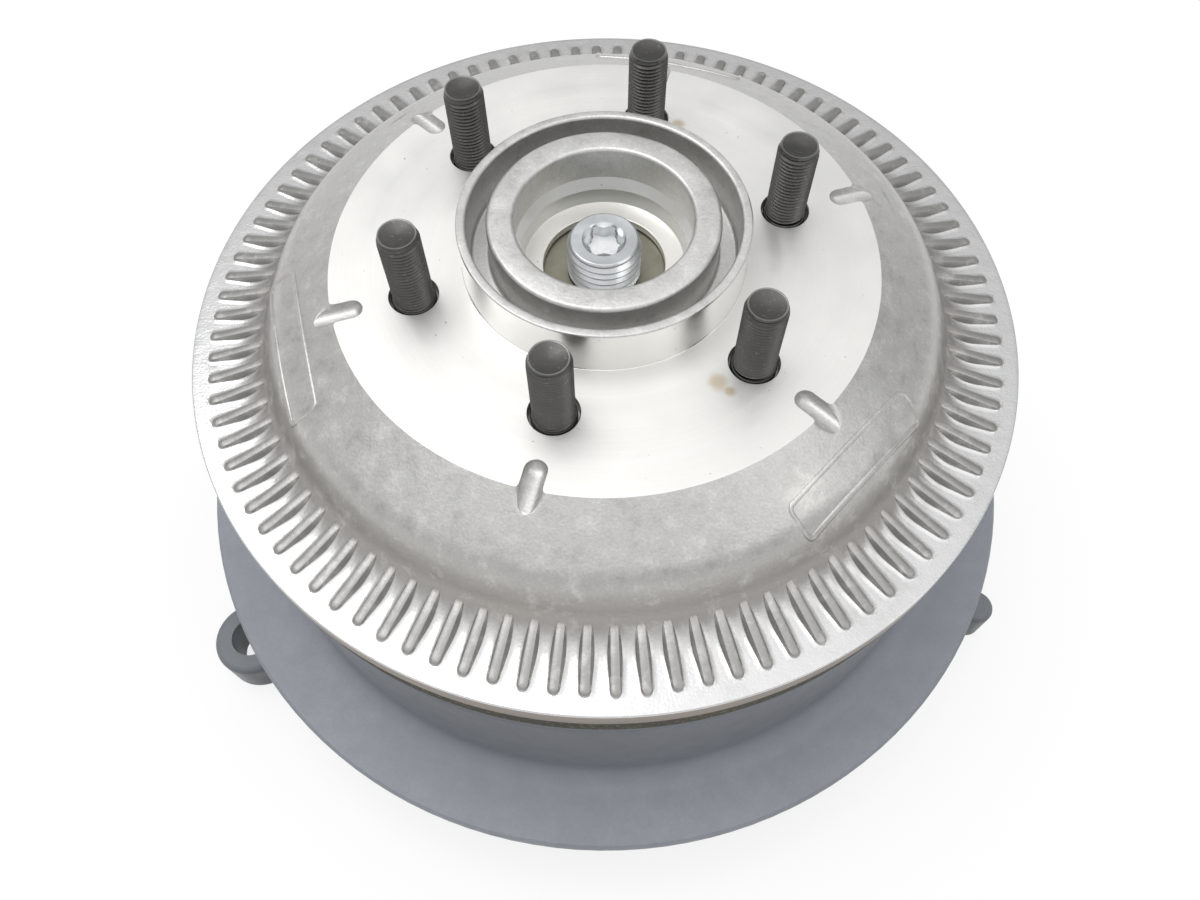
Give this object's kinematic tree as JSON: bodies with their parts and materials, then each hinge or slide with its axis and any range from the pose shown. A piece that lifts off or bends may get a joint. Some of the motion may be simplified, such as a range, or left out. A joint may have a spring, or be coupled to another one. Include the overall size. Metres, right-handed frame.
{
  "type": "fan clutch",
  "caption": "Air operated friction fan clutch: belt pulley on a mounting bracket, finned aluminium fan disc with pilot ring, fan studs and a central threaded stud.",
  "frame": {"origin": "centre of the rear pilot bore, in the plane of the bracket's rear mounting face", "axes": "+Z along the axis of rotation from the bracket towards the fan; the two left bolt ears lie at -X"},
  "size_m": [0.3047, 0.304, 0.1834],
  "materials": {
    "grey_paint": "semi-gloss blue grey paint on cast iron",
    "grey_paint_bracket": "semi-gloss blue grey paint on cast iron",
    "cast_aluminium": "as cast, with turned front face, pilot rings and rim",
    "cast_aluminium_inner": "turned",
    "ground_steel": "turned and ground",
    "bearing_steel": "ground and polished",
    "spring_steel": "blued",
    "black_oxide_steel": "black oxide, oiled",
    "rusty_iron": "turned, light rust",
    "friction_material": "moulded friction material with brown flecks",
    "seal_rubber": "moulded",
    "carbon": "lapped carbon",
    "yellow_zinc": "olive yellow zinc chromate",
    "bright_zinc": "bright zinc plate"
  },
  "bodies": {
    "bracket": {"mounting_bracket": "grey_paint_bracket", "spindle": "ground_steel", "lock_washer": "ground_steel", "spindle_nut": "ground_steel", "air_seal_washer": "ground_steel", "air_seal": "carbon", "pulley_bearing_inner_race": "bearing_steel", "pulley_bearing_rollers": "bearing_steel"},
    "pulley": {"pulley_bearing_outer_race": "bearing_steel", "pulley_bearing_shields": "seal_rubber", "bearing_snap_ring": "spring_steel", "rear_grease_seal": "seal_rubber", "pulley": "grey_paint", "journal": "ground_steel", "journal_screws": "black_oxide_steel", "drive_pins": "bearing_steel", "belleville_spring": "spring_steel", "cylinder_cover": "cast_aluminium_inner", "cover_seal": "seal_rubber", "cover_snap_ring": "spring_steel", "fan_bearing_inner_race": "bearing_steel", "fan_bearing_rollers": "bearing_steel", "clamp_ring": "yellow_zinc", "centre_stud": "bright_zinc"},
    "clutch": {"piston": "cast_aluminium_inner", "piston_seal": "seal_rubber", "clutch_plate": "grey_paint", "friction_lining": "friction_material", "plate_screws": "black_oxide_steel"},
    "fan": {"fan_disc": "cast_aluminium", "fan_studs": "black_oxide_steel", "friction_ring": "rusty_iron", "ring_screws": "black_oxide_steel", "fan_bearing_outer_race": "bearing_steel", "fan_bearing_shields": "seal_rubber", "fan_snap_ring": "spring_steel"}
  },
  "joints": [
    {"name": "pulley_spin", "type": "hinge", "parent": "bracket", "child": "pulley", "pos_m": [0, 0, 0], "axis": [0, 0, 1], "continuous": true},
    {"name": "clutch_release", "type": "slide", "parent": "pulley", "child": "clutch", "axis": [0, 0, 1], "range_m": [-0.0015, 0], "stiffness_N_per_m": 60000, "springref_m": 0.003, "deforming": ["belleville_spring"]},
    {"name": "fan_spin", "type": "hinge", "parent": "pulley", "child": "fan", "pos_m": [0, 0, 0], "axis": [0, 0, 1], "continuous": true}
  ]
}
